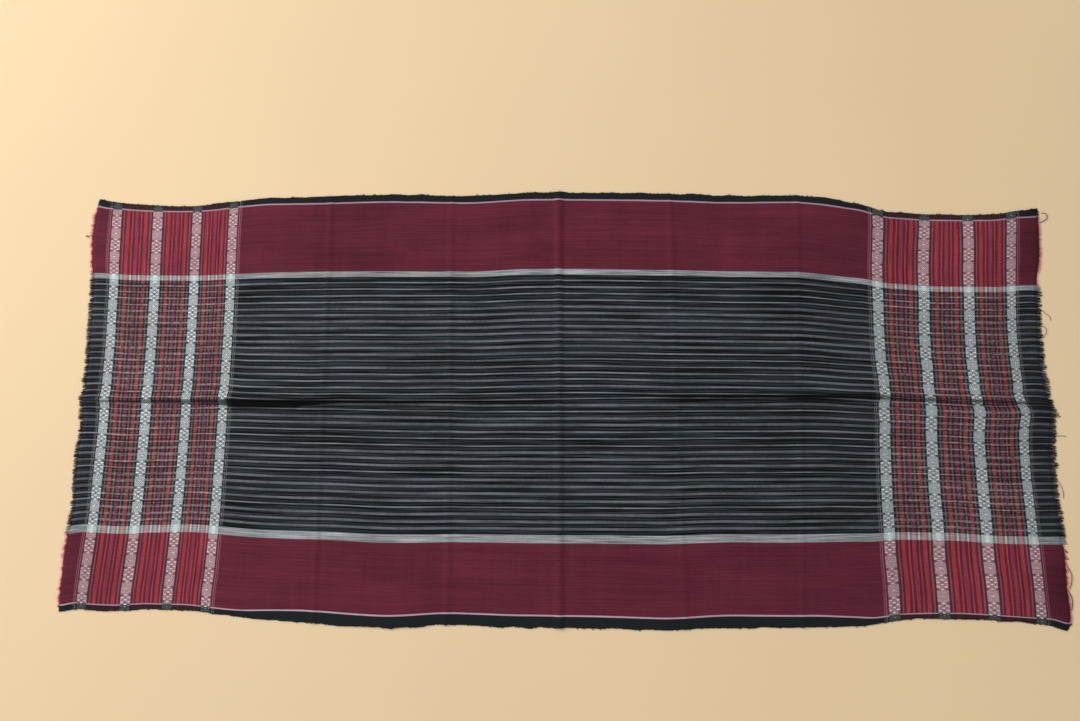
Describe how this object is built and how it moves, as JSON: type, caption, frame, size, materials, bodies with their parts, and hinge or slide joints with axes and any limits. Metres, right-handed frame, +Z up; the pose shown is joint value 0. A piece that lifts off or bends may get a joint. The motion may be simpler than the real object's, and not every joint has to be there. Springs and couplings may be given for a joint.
{
  "type": "ulos cloth",
  "caption": "Handwoven shoulder cloth laid out flat, with striped dark field, red borders, brocade bands at both ends, storage folds and short raw fringes.",
  "frame": {"origin": "middle of the object's box, at the level of the floor that it lies on", "axes": "+X along the cloth's length, +Y across it towards the far selvedge, +Z up off the floor"},
  "size_m": [1.7834, 0.791, 0.0102],
  "materials": {
    "cloth_weave": "handwoven cotton, matt",
    "fringe_yarn": "loose cotton yarn, matt"
  },
  "bodies": {
    "root": {"cloth": "cloth_weave", "fringe_left": "fringe_yarn", "fringe_right": "fringe_yarn"}
  },
  "joints": []
}
